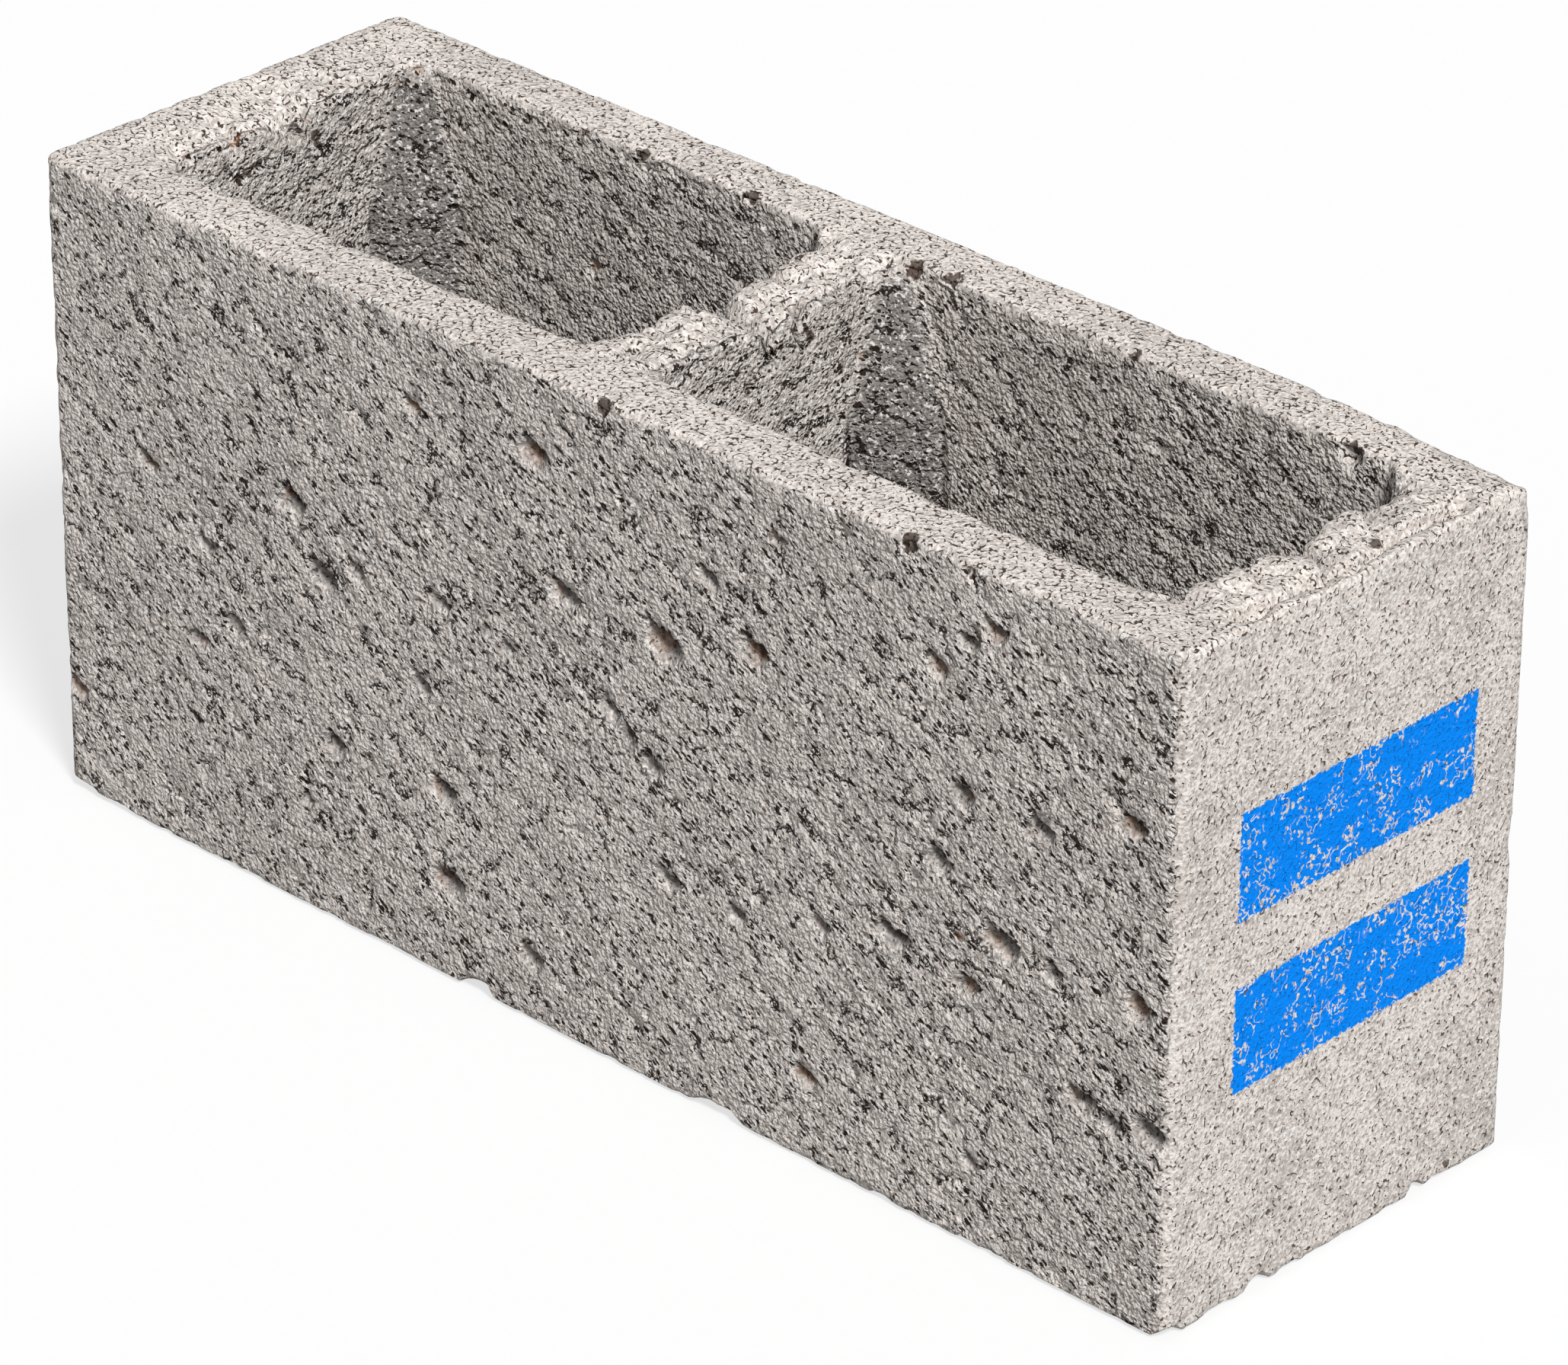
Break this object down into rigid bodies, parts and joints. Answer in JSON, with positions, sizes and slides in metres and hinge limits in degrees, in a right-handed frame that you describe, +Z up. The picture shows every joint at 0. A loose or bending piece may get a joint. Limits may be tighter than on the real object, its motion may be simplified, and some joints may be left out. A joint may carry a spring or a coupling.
{
  "type": "hollow concrete block",
  "caption": "Hollow cast concrete building block with open cells through it from top to bottom, a web between them and rough, pitted faces.",
  "frame": {"origin": "middle of the bottom bed face, on the floor the block stands on", "axes": "+X along the block towards the end that carries the coloured mark, +Y across it towards the back long face, +Z up through the cells"},
  "size_m": [0.4, 0.13, 0.19],
  "materials": {
    "concrete": "rough, open-textured cast concrete"
  },
  "bodies": {
    "root": {"block_body": "concrete"}
  },
  "joints": []
}
